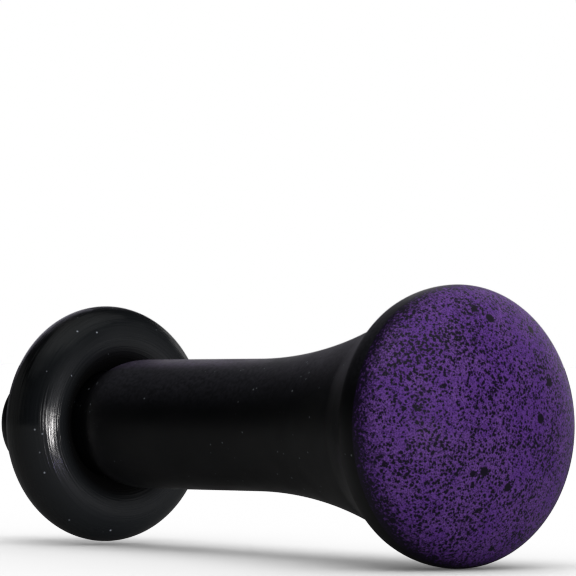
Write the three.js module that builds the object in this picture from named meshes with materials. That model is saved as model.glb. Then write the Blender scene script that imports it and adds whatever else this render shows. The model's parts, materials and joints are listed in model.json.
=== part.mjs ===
// Single-flare ear plug (stretched-ear jewellery) with a rubber retaining ring.
//
// The plug lies along X: its speckled face looks towards +X and its tail points towards -X.
// The origin is on the axis, in the middle of the length that the ear lobe covers.
// Every piece is turned about the axis, so each one is an outline of (radius, place along the axis).
// Units are millimetres, +Z up.

import * as THREE from 'three';

// ---- driving dimensions -------------------------------------------------------------------

const degrees = Math.PI / 180;

const barrelRadius = 1.6; // 8 gauge: 3.2 mm across
const lobeLength = 8.0; // from the ring's front to where the flare fills the lobe's hole

// retaining ring
const ringSection = 0.8; // radius of the round section
const ringBore = 1.35; // radius of the hole
const ringX = -(lobeLength / 2 + ringSection);

// neck and tail, a little narrower than the barrel
const neckRadius = ringBore - 0.02; // the ring slides off over it
const tailEndX = ringX - 2.92;
const tailRounding = 0.46; // radius of the tail's rounded edge

// shoulder between neck and barrel
const shoulderStartX = ringX + 0.75;
const shoulderEndX = ringX + 1.8;

// rounded head
const headRadius = 3.27;
const rimX = 8.32; // the head is widest here
const domeHeight = 1.76; // from the rim to the tip of the face
const backCentreRadius = 2.04; // the head's back is an arc of an ellipse about this radius
const backStartAngle = -60; // and the arc starts at this angle, where the trumpet meets it

// trumpet: straight barrel, then an arc, then a cone
const coneSlope = 0.3; // rise of the cone's radius for each millimetre of length
const coneEndX = 7.09;
const coneEndRadius = backCentreRadius + (headRadius - backCentreRadius) * Math.cos(backStartAngle * degrees);
const coneStartX = coneEndX - (coneEndRadius - barrelRadius) / coneSlope; // where it would meet the barrel
const flareArcHalfLength = 2.33; // the arc reaches this far either side of that point

// speckled layer fused over the front of the head
const layerThickness = 0.3;
const bondGap = 0.03;

// fineness of the turned surfaces
const segmentsAround = 48;

// ---- outlines -----------------------------------------------------------------------------

// A stretch of an ellipse about (centreRadius, centreX). Angle 0 points outward and 90 towards +X.
function ellipseArc(centreRadius, centreX, reachOut, reachAlong, fromAngle, toAngle, steps) {
  const points = [];
  for (let i = 0; i <= steps; i += 1) {
    const angle = (fromAngle + ((toAngle - fromAngle) * i) / steps) * degrees;
    const radius = Math.max(0, centreRadius + reachOut * Math.cos(angle));
    points.push(new THREE.Vector2(radius, centreX + reachAlong * Math.sin(angle)));
  }
  return points;
}

// The radius along the arc between barrel and cone grows with the square of the distance.
function flareArc(steps) {
  const length = 2 * flareArcHalfLength;
  const points = [];
  for (let i = 0; i <= steps; i += 1) {
    const along = (length * i) / steps;
    const radius = barrelRadius + (coneSlope * along * along) / (2 * length);
    points.push(new THREE.Vector2(radius, coneStartX - flareArcHalfLength + along));
  }
  return points;
}

function bodyOutline() {
  const ledgeX = rimX - bondGap;
  const backReach = (ledgeX - coneEndX) / Math.sin(-backStartAngle * degrees);
  const seatRadius = headRadius - layerThickness - bondGap;
  const seatHeight = domeHeight - layerThickness;
  return [
    // flat tail end and its rounded edge
    new THREE.Vector2(0, tailEndX),
    ...ellipseArc(neckRadius - tailRounding, tailEndX + tailRounding, tailRounding, tailRounding, -90, 0, 5),
    // neck, then the rounded shoulder up to the barrel
    ...ellipseArc(
      neckRadius,
      shoulderEndX,
      barrelRadius - neckRadius,
      shoulderEndX - shoulderStartX,
      -90,
      0,
      6,
    ),
    // trumpet
    ...flareArc(7),
    // back of the head, from the cone's crease out to the rim
    ...ellipseArc(backCentreRadius, ledgeX, headRadius - backCentreRadius, backReach, backStartAngle, 0, 6),
    // seat of the speckled layer
    ...ellipseArc(0, ledgeX, seatRadius, seatHeight, 0, 90, 7),
  ];
}

function layerOutline() {
  const innerRadius = headRadius - layerThickness;
  const innerHeight = domeHeight - layerThickness;
  const inside = ellipseArc(0, rimX, innerRadius, innerHeight, 90, 0, 7);
  const outside = ellipseArc(0, rimX, headRadius, domeHeight, 0, 90, 9);
  return [...inside, ...outside];
}

function ringOutline() {
  const section = ellipseArc(ringBore + ringSection, ringX, ringSection, ringSection, -180, 180, 24);
  section[section.length - 1].copy(section[0]);
  return section;
}

// ---- pieces -------------------------------------------------------------------------------

// A lathe turns about Y, so the piece is laid down until its axis runs along X.
function turnedPiece(name, outline, material) {
  const geometry = new THREE.LatheGeometry(outline, segmentsAround);
  geometry.rotateZ(-90 * degrees);
  const piece = new THREE.Mesh(geometry, material);
  piece.name = name;
  return piece;
}

const frostedBlackGlass = new THREE.MeshStandardMaterial({ color: 0x0b0b10, roughness: 0.55, metalness: 0 });
const speckledPurple = new THREE.MeshStandardMaterial({ color: 0x43265f, roughness: 0.5, metalness: 0 });
const blackRubber = new THREE.MeshStandardMaterial({ color: 0x0d0d11, roughness: 0.4, metalness: 0 });

const plug = new THREE.Group();
plug.name = 'ear_plug';
plug.add(turnedPiece('plug_body', bodyOutline(), frostedBlackGlass));
plug.add(turnedPiece('speckled_face', layerOutline(), speckledPurple));
plug.add(turnedPiece('o_ring', ringOutline(), blackRubber));

export default plug;
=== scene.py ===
"""Looks of a single-flare ear plug.

It has a body of frosted black glass, a speckled purple face and a rubber retaining ring.
"""

import json
import math

import bpy
import numpy as np
from mathutils import Matrix, Vector


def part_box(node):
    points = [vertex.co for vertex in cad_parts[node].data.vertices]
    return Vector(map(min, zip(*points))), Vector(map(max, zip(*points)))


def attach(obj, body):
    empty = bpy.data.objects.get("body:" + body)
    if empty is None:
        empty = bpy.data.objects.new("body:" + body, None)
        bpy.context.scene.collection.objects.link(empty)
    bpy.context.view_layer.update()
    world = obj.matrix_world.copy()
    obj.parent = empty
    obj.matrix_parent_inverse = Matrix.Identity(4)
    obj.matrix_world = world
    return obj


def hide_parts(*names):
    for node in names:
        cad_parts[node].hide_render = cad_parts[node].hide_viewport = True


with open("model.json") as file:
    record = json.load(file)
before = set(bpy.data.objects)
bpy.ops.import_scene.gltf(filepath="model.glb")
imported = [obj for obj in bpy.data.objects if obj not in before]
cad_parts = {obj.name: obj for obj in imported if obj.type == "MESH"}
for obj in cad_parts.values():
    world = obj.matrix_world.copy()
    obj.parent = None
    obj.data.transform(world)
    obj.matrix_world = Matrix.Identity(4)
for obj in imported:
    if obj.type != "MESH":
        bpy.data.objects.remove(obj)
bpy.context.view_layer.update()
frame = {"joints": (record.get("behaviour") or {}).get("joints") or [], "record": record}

# ---- sizes, in metres, read from the frame or worked out from it ------------------------------------------

MM = 0.001
MICRON = 0.000001

ring_low, ring_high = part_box("o_ring")
body_low, body_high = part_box("plug_body")
face_low, face_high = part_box("speckled_face")
mounts = {mount["name"]: mount for mount in frame["record"]["mounts"]}
joints = {joint["name"]: joint for joint in frame["joints"]}

BARREL_R = mounts["lobe_seat"]["dims"]["r_mm"] * MM
TAIL_X = body_low.x
HEAD_R = body_high.z
RIM_X = face_low.x
DOME_HEIGHT = face_high.x - RIM_X
RING_X = (ring_low.x + ring_high.x) / 2
RING_SECTION = (ring_high.x - ring_low.x) / 2
RING_OUTER_R = ring_high.z
RING_MEAN_R = RING_OUTER_R - RING_SECTION
RING_BORE_R = RING_MEAN_R - RING_SECTION
RING_TRAVEL = max(joints["ring_slide"]["range_m"])

# the rest of the body's outline, as the CAD part draws it
NECK_R = RING_BORE_R - 0.02 * MM
TAIL_ROUNDING = 0.46 * MM
SHOULDER_START = RING_X + 0.75 * MM
SHOULDER_END = RING_X + 1.8 * MM
BACK_CENTRE_R = 2.04 * MM
BACK_START = -60
CONE_SLOPE = 0.3
CONE_END_X = 7.09 * MM
CONE_END_R = BACK_CENTRE_R + (HEAD_R - BACK_CENTRE_R) * math.cos(math.radians(BACK_START))
CONE_START_X = CONE_END_X - (CONE_END_R - BARREL_R) / CONE_SLOPE
FLARE_HALF_LENGTH = 2.33 * MM
LAYER_THICKNESS = 0.3 * MM
CREASE_REACH = 0.6 * MM  # how far the rounding of the crease behind the head reaches
SEAM_GAP = 2 * MICRON  # between the body and the face's layer
GRIP_GAP = 1 * MICRON  # between the neck and the ring

BODY_STEPS_AROUND = 256  # steps round the axis of a turned piece
RING_STEPS_AROUND = 320
RING_SECTION_STEPS = 160
OUTLINE_STEP = 0.06 * MM


# ---- outlines and turned meshes ---------------------------------------------------------------------------


def ellipse_arc(centre, reach, start, end, steps):
    """Points (x, radius) on an ellipse about centre. Angle 0 points outward and 90 towards +X."""
    angles = np.radians(np.linspace(start, end, steps + 1))
    along = centre[0] + reach[0] * np.sin(angles)
    radius = centre[1] + reach[1] * np.cos(angles)
    return np.column_stack([along, np.maximum(radius, 0)])


def flare_arc(steps):
    """The arc from the barrel into the cone, whose radius grows with the square of the distance."""
    along = np.linspace(0, 2 * FLARE_HALF_LENGTH, steps + 1)
    radius = BARREL_R + CONE_SLOPE * along**2 / (4 * FLARE_HALF_LENGTH)
    return np.column_stack([CONE_START_X - FLARE_HALF_LENGTH + along, radius])


def evenly(outline, step):
    """The same line with points an equal distance apart, about step."""
    length = np.concatenate([[0], np.cumsum(np.linalg.norm(np.diff(outline, axis=0), axis=1))])
    count = max(2, round(length[-1] / step) + 1)
    places = np.linspace(0, length[-1], count)
    return np.column_stack([np.interp(places, length, outline[:, k]) for k in range(2)])


def soften(outline, at_x, reach, rounds):
    """Rounds the corner that lies within reach of at_x, by moving its points towards their neighbours."""
    weight = np.clip(1 - np.abs(outline[1:-1, 0] - at_x) / reach, 0, 1)[:, None]
    for _ in range(rounds):
        middle = (outline[:-2] + outline[2:]) / 2
        outline[1:-1] += weight * (middle - outline[1:-1])
    return outline


def body_outline():
    tail_edge = ellipse_arc(
        (TAIL_X + TAIL_ROUNDING, NECK_R - TAIL_ROUNDING), (TAIL_ROUNDING, TAIL_ROUNDING), -90, 0, 24
    )
    shoulder = ellipse_arc(
        (SHOULDER_END, NECK_R), (SHOULDER_END - SHOULDER_START, BARREL_R - NECK_R), -90, 0, 30
    )
    seam_x = RIM_X - SEAM_GAP
    back_reach = (seam_x - CONE_END_X) / math.sin(math.radians(-BACK_START))
    head_back = ellipse_arc(
        (seam_x, BACK_CENTRE_R), (back_reach, HEAD_R - BACK_CENTRE_R), BACK_START, 0, 40
    )
    seat = ellipse_arc(
        (seam_x, 0), (DOME_HEIGHT - LAYER_THICKNESS, HEAD_R - LAYER_THICKNESS - SEAM_GAP), 0, 90, 24
    )
    outside = np.vstack([[[TAIL_X, 0]], tail_edge, shoulder, flare_arc(60), head_back])
    outside = evenly(outside, OUTLINE_STEP)
    outside = soften(outside, CONE_END_X, CREASE_REACH, 150)
    return np.vstack([outside, seat])


def face_outline():
    inside = ellipse_arc((RIM_X, 0), (DOME_HEIGHT - LAYER_THICKNESS, HEAD_R - LAYER_THICKNESS), 90, 0, 24)
    outside = ellipse_arc((RIM_X, 0), (DOME_HEIGHT, HEAD_R), 0, 90, 150)
    return np.vstack([inside, outside])


def ring_outline(steps):
    """The round section, pressed flat where it grips the neck."""
    section = ellipse_arc((RING_X, RING_MEAN_R), (RING_SECTION, RING_SECTION), -180, 180, steps)[:-1]
    inner = np.clip((RING_MEAN_R - section[:, 1]) / RING_SECTION, 0, 1)
    section[:, 1] -= (RING_BORE_R - NECK_R - GRIP_GAP) * inner**2
    return section


def turned_mesh(name, outline, around, closed):
    """A mesh made by turning an outline of (x, radius) about the X axis. A closed outline makes a ring."""
    angles = np.arange(around) * 2 * math.pi / around
    points, first = [], []
    for x, radius in outline:
        first.append(len(points))
        if radius < MICRON:
            points.append((x, 0, 0))
        else:
            points.extend(zip(np.full(around, x), -radius * np.sin(angles), radius * np.cos(angles)))
    last = len(outline) if closed else len(outline) - 1
    faces = []
    for i in range(last):
        j = (i + 1) % len(outline)
        from_pole = outline[i][1] < MICRON
        to_pole = outline[j][1] < MICRON
        for k in range(around):
            n = (k + 1) % around
            if from_pole:
                faces.append((first[i], first[j] + n, first[j] + k))
            elif to_pole:
                faces.append((first[i] + k, first[i] + n, first[j]))
            else:
                faces.append((first[i] + k, first[i] + n, first[j] + n, first[j] + k))
    mesh = bpy.data.meshes.new(name)
    mesh.from_pydata([tuple(map(float, p)) for p in points], [], faces)
    mesh.update()
    piece = bpy.data.objects.new(name, mesh)
    bpy.context.scene.collection.objects.link(piece)
    mesh.polygons.foreach_set("use_smooth", [True] * len(mesh.polygons))
    mesh.set_sharp_from_angle(angle=math.radians(50))
    return piece


# ---- materials --------------------------------------------------------------------------------------------


class Recipe:
    """A material's node tree with short calls for the nodes that the recipes below use."""

    def __init__(self, name):
        self.material = bpy.data.materials.new(name)
        self.material.use_nodes = True
        self.tree = self.material.node_tree
        self.shader = self.tree.nodes["Principled BSDF"]
        self.place = self.node("ShaderNodeTexCoord").outputs["Object"]
        split = self.node("ShaderNodeSeparateXYZ")
        self.link(self.place, split.inputs[0])
        self.x, self.y, self.z = split.outputs
        square = self.calc("ADD", self.calc("POWER", self.y, 2.0), self.calc("POWER", self.z, 2.0))
        self.radius = self.calc("SQRT", square)

    def node(self, kind, **settings):
        made = self.tree.nodes.new(kind)
        for key, value in settings.items():
            setattr(made, key, value)
        return made

    def link(self, source, socket):
        if isinstance(source, bpy.types.NodeSocket):
            self.tree.links.new(source, socket)
        else:
            socket.default_value = source

    def calc(self, operation, *values, clamp=False):
        made = self.node("ShaderNodeMath", operation=operation, use_clamp=clamp)
        for value, socket in zip(values, made.inputs):
            self.link(value, socket)
        return made.outputs[0]

    def product(self, first, *others):
        for other in others:
            first = self.calc("MULTIPLY", first, other)
        return first

    def noise(self, size, detail=2.0, place=None, seed=0.0):
        """Smooth noise from 0 to 1 with features about size metres across."""
        made = self.node("ShaderNodeTexNoise", noise_dimensions="4D")
        self.link(place or self.place, made.inputs["Vector"])
        self.link(seed, made.inputs["W"])
        made.inputs["Scale"].default_value = 1 / size
        made.inputs["Detail"].default_value = detail
        return made.outputs["Fac"]

    def scatter(self, spacing, seed=0.0):
        """Points about spacing apart: the distance to the nearest, and that point's own random number."""
        made = self.node("ShaderNodeTexVoronoi", voronoi_dimensions="4D", feature="F1")
        self.link(self.place, made.inputs["Vector"])
        self.link(seed, made.inputs["W"])
        made.inputs["Scale"].default_value = 1 / spacing
        random = self.node("ShaderNodeSeparateColor")
        self.link(made.outputs["Color"], random.inputs[0])
        return self.product(made.outputs["Distance"], spacing), random.outputs[0]

    def ramp(self, value, low, high, out_low=0.0, out_high=1.0):
        """Maps low to high smoothly onto out_low to out_high."""
        made = self.node("ShaderNodeMapRange", interpolation_type="SMOOTHSTEP")
        for source, key in zip(
            (value, low, high, out_low, out_high), ("Value", "From Min", "From Max", "To Min", "To Max")
        ):
            self.link(source, made.inputs[key])
        return made.outputs[0]

    def mix(self, share, first, second):
        made = self.node("ShaderNodeMix", data_type="RGBA")
        self.link(share, made.inputs[0])
        self.link(first, made.inputs[6])
        self.link(second, made.inputs[7])
        return made.outputs[2]

    def dust(self, colour, share, seed=0.0):
        """Lays tiny pale specks over a colour, in loose patches. Share is how many there are in a patch."""
        distance, random = self.scatter(0.14 * MM, seed)
        patches = self.noise(1.3 * MM, seed=seed + 7)
        kept = self.calc("GREATER_THAN", random, self.ramp(patches, 0.45, 0.65, 1.0, 1 - share))
        speck = self.product(self.ramp(distance, 0.032 * MM, 0.014 * MM), kept)
        return self.mix(speck, colour, rgb(0.30, 0.33, 0.36))

    def bump(self, height, distance, before=None):
        """Relief of a height from 0 to 1 that stands distance metres high."""
        made = self.node("ShaderNodeBump")
        self.link(height, made.inputs["Height"])
        made.inputs["Distance"].default_value = distance
        if before is not None:
            self.link(before, made.inputs["Normal"])
        return made.outputs[0]

    def finish(self, colour, roughness, normal, specular=0.5):
        self.link(colour, self.shader.inputs["Base Color"])
        self.link(roughness, self.shader.inputs["Roughness"])
        self.link(normal, self.shader.inputs["Normal"])
        self.shader.inputs["Specular IOR Level"].default_value = specular
        return self.material


def rgb(red, green, blue):
    return (red, green, blue, 1.0)


def frosted_black_glass():
    m = Recipe("frosted_black_glass")
    clouds = m.noise(0.9 * MM, detail=3.0)
    colour = m.mix(clouds, rgb(0.0012, 0.0016, 0.0026), rgb(0.0024, 0.0027, 0.0038))
    # a mottled grey haze on the upper side of all but the neck: partly frost, partly painted light from
    # above that lightens the top
    upward = m.calc("DIVIDE", m.z, m.radius)
    past_neck = m.ramp(m.x, SHOULDER_START, SHOULDER_END)
    mottle = m.ramp(m.noise(0.09 * MM, detail=4.0), 0.3, 0.7, 0.3, 1.0)
    frost_and_painted_top_light = m.product(m.ramp(upward, 0.15, 0.85), past_neck, mottle)
    colour = m.mix(frost_and_painted_top_light, colour, rgb(0.062, 0.061, 0.076))
    # overspray of the face's colour along the very top, thinning out towards the flare
    along = m.product(m.ramp(m.x, -4.6 * MM, -3.4 * MM), m.ramp(m.x, 3.0 * MM, 0.0))
    overspray = m.product(m.ramp(upward, 0.82, 0.96), along, mottle)
    colour = m.mix(overspray, colour, rgb(0.130, 0.095, 0.185))
    colour = m.dust(colour, 0.8)
    roughness = m.ramp(clouds, 0.3, 0.7, 0.38, 0.46)
    normal = m.bump(m.noise(0.035 * MM, detail=3.0), 0.8 * MICRON)
    return m.finish(colour, roughness, normal, specular=0.32)


def speckled_purple():
    m = Recipe("speckled_purple_glass")
    grain = m.ramp(m.noise(0.035 * MM, detail=2.0), 0.28, 0.72)
    purple = m.mix(grain, rgb(0.17, 0.052, 0.40), rgb(0.52, 0.210, 0.98))
    patches = m.noise(0.8 * MM, detail=2.0, seed=3.0)
    purple = m.mix(m.ramp(patches, 0.4, 0.65, 0.0, 0.45), purple, rgb(0.26, 0.060, 0.70))
    black = rgb(0.016, 0.008, 0.034)
    # fine specks of two sizes, denser in some patches and sparser towards one side
    ragged = m.ramp(m.noise(0.04 * MM, detail=2.0, seed=5.0), 0.2, 0.8, -0.015 * MM, 0.015 * MM)
    sideways = m.calc("ADD", m.product(m.y, 0.6), m.product(m.z, 0.8))
    thinning = m.ramp(sideways, 1.2 * MM, 3.2 * MM, 0.0, 0.2)
    density = m.calc("SUBTRACT", m.noise(0.9 * MM, detail=3.0, seed=9.0), thinning)
    distance, _ = m.scatter(0.076 * MM)
    reach = m.ramp(density, 0.3, 0.7, 0.034 * MM, 0.044 * MM)
    edge = m.calc("SUBTRACT", m.calc("ADD", distance, ragged), reach)
    specks = m.ramp(edge, 0.005 * MM, -0.005 * MM)
    distance, _ = m.scatter(0.047 * MM, seed=8.0)
    reach = m.ramp(density, 0.3, 0.7, 0.018 * MM, 0.023 * MM)
    small = m.ramp(m.calc("SUBTRACT", distance, reach), 0.006 * MM, -0.006 * MM, 0.0, 0.8)
    # a few larger blots
    distance, random = m.scatter(0.5 * MM, seed=2.0)
    blot_size = m.ramp(random, 0.0, 1.0, 0.06 * MM, 0.14 * MM)
    edge = m.calc("SUBTRACT", m.calc("ADD", distance, ragged), blot_size)
    blots = m.ramp(edge, 0.010 * MM, -0.010 * MM)
    # the colour breaks up into black over the rounded rim, from a little further in at the bottom
    from_rim = m.calc("SUBTRACT", m.x, RIM_X)
    grain = m.ramp(m.noise(0.06 * MM, detail=2.0, seed=6.0), 0.25, 0.75, -0.28 * MM, 0.28 * MM)
    ragged_rim = m.calc("ADD", m.calc("ADD", from_rim, grain), m.product(m.z, 0.03))
    fade = m.ramp(ragged_rim, 0.65 * MM, 0.10 * MM)
    dark = m.calc("MAXIMUM", m.calc("MAXIMUM", specks, small), m.calc("MAXIMUM", blots, fade))
    colour = m.mix(dark, purple, black)
    # tiny painted glints: pale dots painted into the colour as sparkles
    distance, random = m.scatter(0.6 * MM, seed=4.0)
    painted_glint = m.product(m.ramp(distance, 0.026 * MM, 0.012 * MM), m.ramp(random, 0.3, 0.5))
    colour = m.mix(painted_glint, colour, rgb(0.75, 0.70, 0.85))
    normal = m.bump(m.calc("SUBTRACT", 1.0, dark), 1.5 * MICRON)
    return m.finish(colour, m.ramp(dark, 0.0, 1.0, 0.50, 0.42), normal, specular=0.35)


def black_rubber():
    m = Recipe("black_rubber")
    clouds = m.noise(0.8 * MM, detail=3.0)
    colour = m.mix(clouds, rgb(0.0045, 0.0056, 0.0063), rgb(0.0076, 0.0090, 0.0100))
    colour = m.dust(colour, 0.6, seed=1.0)
    # painted shade: the side towards the hole, down in the crevice against the neck, is darkened to near
    # black
    painted_crevice_shade = m.ramp(m.radius, RING_MEAN_R, RING_BORE_R + 0.3 * MM)
    colour = m.mix(painted_crevice_shade, colour, rgb(0.001, 0.001, 0.001))
    # fine moulding lines, which run along the ring and come and go
    section = m.calc("ARCTAN2", m.calc("SUBTRACT", m.radius, RING_MEAN_R), m.calc("SUBTRACT", m.x, RING_X))
    across = m.node("ShaderNodeCombineXYZ")
    m.link(m.product(section, RING_SECTION), across.inputs[0])
    m.link(m.product(m.y, 0.02), across.inputs[1])
    m.link(m.product(m.z, 0.02), across.inputs[2])
    lines = m.noise(0.045 * MM, detail=2.0, place=across.outputs[0])
    normal = m.bump(lines, 15.0 * MICRON)
    normal = m.bump(m.noise(0.04 * MM, detail=3.0), 0.6 * MICRON, before=normal)
    m.link(normal, m.shader.inputs["Coat Normal"])
    m.shader.inputs["Coat Weight"].default_value = 0.4
    m.shader.inputs["Coat IOR"].default_value = 1.9
    m.shader.inputs["Coat Roughness"].default_value = 0.12
    return m.finish(colour, 0.55, normal, specular=0.06)


# ---- pieces -----------------------------------------------------------------------------------------------


def add_piece(name, outline, around, closed, material, body, node):
    piece = turned_mesh(name, outline, around, closed)
    piece.data.materials.append(material)
    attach(piece, body)
    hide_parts(node)
    return piece


glass_body = add_piece(
    "glass_body",
    body_outline(),
    BODY_STEPS_AROUND,
    False,
    frosted_black_glass(),
    "plug",
    "plug_body",
)
face_layer = add_piece(
    "face_layer",
    face_outline(),
    BODY_STEPS_AROUND,
    False,
    speckled_purple(),
    "plug",
    "speckled_face",
)
rubber_ring = add_piece(
    "rubber_ring",
    ring_outline(RING_SECTION_STEPS),
    RING_STEPS_AROUND,
    True,
    black_rubber(),
    "ring",
    "o_ring",
)


# ---- floor, light and camera ------------------------------------------------------------------------------

CAMERA_AZIMUTH = math.radians(49.61)
CAMERA_ELEVATION = math.radians(-1.28)
CAMERA_DISTANCE = 112 * MM
CAMERA_AIM = Vector((1.93, 0.27, 3.30)) * MM
CAMERA_LENS = 290.3
LIGHT_DISTANCE = 0.25


def add_camera():
    away = Vector(
        (
            math.sin(CAMERA_AZIMUTH) * math.cos(CAMERA_ELEVATION),
            -math.cos(CAMERA_AZIMUTH) * math.cos(CAMERA_ELEVATION),
            math.sin(CAMERA_ELEVATION),
        )
    )
    data = bpy.data.cameras.new("camera")
    data.lens = CAMERA_LENS
    data.sensor_width = 36
    data.clip_start = 1 * MM
    data.clip_end = 10
    camera = bpy.data.objects.new("camera", data)
    bpy.context.scene.collection.objects.link(camera)
    camera.location = CAMERA_AIM + away * CAMERA_DISTANCE
    camera.rotation_mode = "QUATERNION"
    camera.rotation_quaternion = away.to_track_quat("Z", "Y")
    bpy.context.scene.camera = camera


def add_softbox(name, azimuth, elevation, half_width, half_height, radiance, tint=(1, 1, 1)):
    """A rectangular light that faces the plug, placed and sized by angles in degrees as the plug sees it.

    The azimuth is counted from +X towards +Y.
    """
    width = 2 * LIGHT_DISTANCE * math.tan(math.radians(half_width))
    height = 2 * LIGHT_DISTANCE * math.tan(math.radians(half_height))
    data = bpy.data.lights.new(name, "AREA")
    data.shape = "RECTANGLE"
    data.size = width
    data.size_y = height
    data.energy = radiance * math.pi * width * height
    data.color = tint
    light = bpy.data.objects.new(name, data)
    bpy.context.scene.collection.objects.link(light)
    turn, rise = math.radians(azimuth), math.radians(elevation)
    away = Vector((math.cos(turn) * math.cos(rise), math.sin(turn) * math.cos(rise), math.sin(rise)))
    light.location = away * LIGHT_DISTANCE
    light.rotation_mode = "QUATERNION"
    light.rotation_quaternion = away.to_track_quat("Z", "Y")
    light.visible_camera = False
    return light


def light_only(lights, receivers, blockers=None):
    """Keeps lights to the receivers, like flags beside a lamp. Only the blockers, if given, shade them."""
    for light in lights:
        lit = bpy.data.collections.new(light.name + "_lit")
        for piece in receivers:
            lit.objects.link(piece)
        light.light_linking.receiver_collection = lit
        if blockers:
            shading = bpy.data.collections.new(light.name + "_shade")
            for piece in blockers:
                shading.objects.link(piece)
            light.light_linking.blocker_collection = shading


def add_floor():
    """A pale floor that touches the head, and the ring at the end of its travel, so it leans by a degree."""
    reach = 0.4
    lean = (HEAD_R - RING_OUTER_R) / (RIM_X - RING_X + RING_TRAVEL)
    mesh = bpy.data.meshes.new("floor")
    corners = [(-reach, -reach), (reach, -reach), (reach, reach), (-reach, reach)]
    mesh.from_pydata([(x, y, -HEAD_R - lean * (x - RIM_X)) for x, y in corners], [], [(0, 1, 2, 3)])
    floor = bpy.data.objects.new("floor", mesh)
    bpy.context.scene.collection.objects.link(floor)
    material = bpy.data.materials.new("pale_floor")
    material.use_nodes = True
    shader = material.node_tree.nodes["Principled BSDF"]
    # the camera sees white with a shadow here, so this sets only the light thrown back up on the plug
    shader.inputs["Base Color"].default_value = rgb(0.26, 0.26, 0.26)
    shader.inputs["Roughness"].default_value = 0.9
    mesh.materials.append(material)
    floor.is_shadow_catcher = True
    return floor


def set_world():
    """White to the camera, so that floor and background are one plain white, and dim for all else."""
    world = bpy.data.worlds.new("studio")
    bpy.context.scene.world = world
    world.use_nodes = True
    nodes, links = world.node_tree.nodes, world.node_tree.links
    nodes.clear()
    path = nodes.new("ShaderNodeLightPath")
    dim = nodes.new("ShaderNodeBackground")
    dim.inputs["Color"].default_value = rgb(1, 1, 1)
    dim.inputs["Strength"].default_value = 0.01
    white = nodes.new("ShaderNodeBackground")
    white.inputs["Color"].default_value = rgb(1, 1, 1)
    white.inputs["Strength"].default_value = 1.0
    mix = nodes.new("ShaderNodeMixShader")
    out = nodes.new("ShaderNodeOutputWorld")
    links.new(path.outputs["Is Camera Ray"], mix.inputs[0])
    links.new(dim.outputs[0], mix.inputs[1])
    links.new(white.outputs[0], mix.inputs[2])
    links.new(mix.outputs[0], out.inputs["Surface"])


set_world()
floor = add_floor()
add_camera()

# the key light sits low to the camera's right, and the rest are overhead, at the side and behind
add_softbox("key_light", -10, 0, 5, 7, 5.0)
add_softbox("overhead_light", 40, 85, 30, 30, 0.20)
add_softbox("back_light", 108, 8, 18, 14, 0.6)
add_softbox("back_right_light", 55, 22, 20, 20, 0.1)
add_softbox("back_left_light", 150, 12, 14, 20, 0.22, (0.90, 0.86, 1.0))

# the ring is kept out of these, because its smooth coat would mirror them
glass_lights = [
    add_softbox("camera_fill", -42, 10, 20, 14, 0.24, (0.92, 0.97, 1.0)),
    add_softbox("front_top_light", -40, 55, 42, 28, 0.47),
    add_softbox("back_high_light", 110, 38, 34, 18, 0.45),
]
light_only(glass_lights, [glass_body, face_layer, floor])

# and has dimmer ones of its own instead
ring_lights = [
    add_softbox("ring_soft_light", -40, 72, 42, 24, 0.15, (0.92, 0.97, 1.0)),
    add_softbox("ring_side_light", -140, 16, 34, 16, 0.10),
    add_softbox("ring_edge_light", 158, 24, 12, 16, 0.5, (0.84, 0.82, 1.0)),
]
light_only(ring_lights, [rubber_ring])

# the bright streak on the ring, whitish in the middle, bluish above and violet below
glint_lights = [
    add_softbox("high_glint_light", 11, 4, 4, 4, 12.0, (0.75, 0.80, 1.0)),
    add_softbox("glint_light", 11, -2.5, 4, 2.8, 190.0, (1.0, 0.97, 0.96)),
    add_softbox("low_glint_light", 11, -8.5, 4, 3.2, 16.0, (0.55, 0.50, 1.0)),
]
light_only(glint_lights, [rubber_ring], [rubber_ring])

# light that no piece shades, to keep the shadows pale
light_only([add_softbox("floor_light", 0, 89, 35, 35, 0.8)], [floor], [floor])

bpy.context.scene.view_settings.view_transform = "Standard"
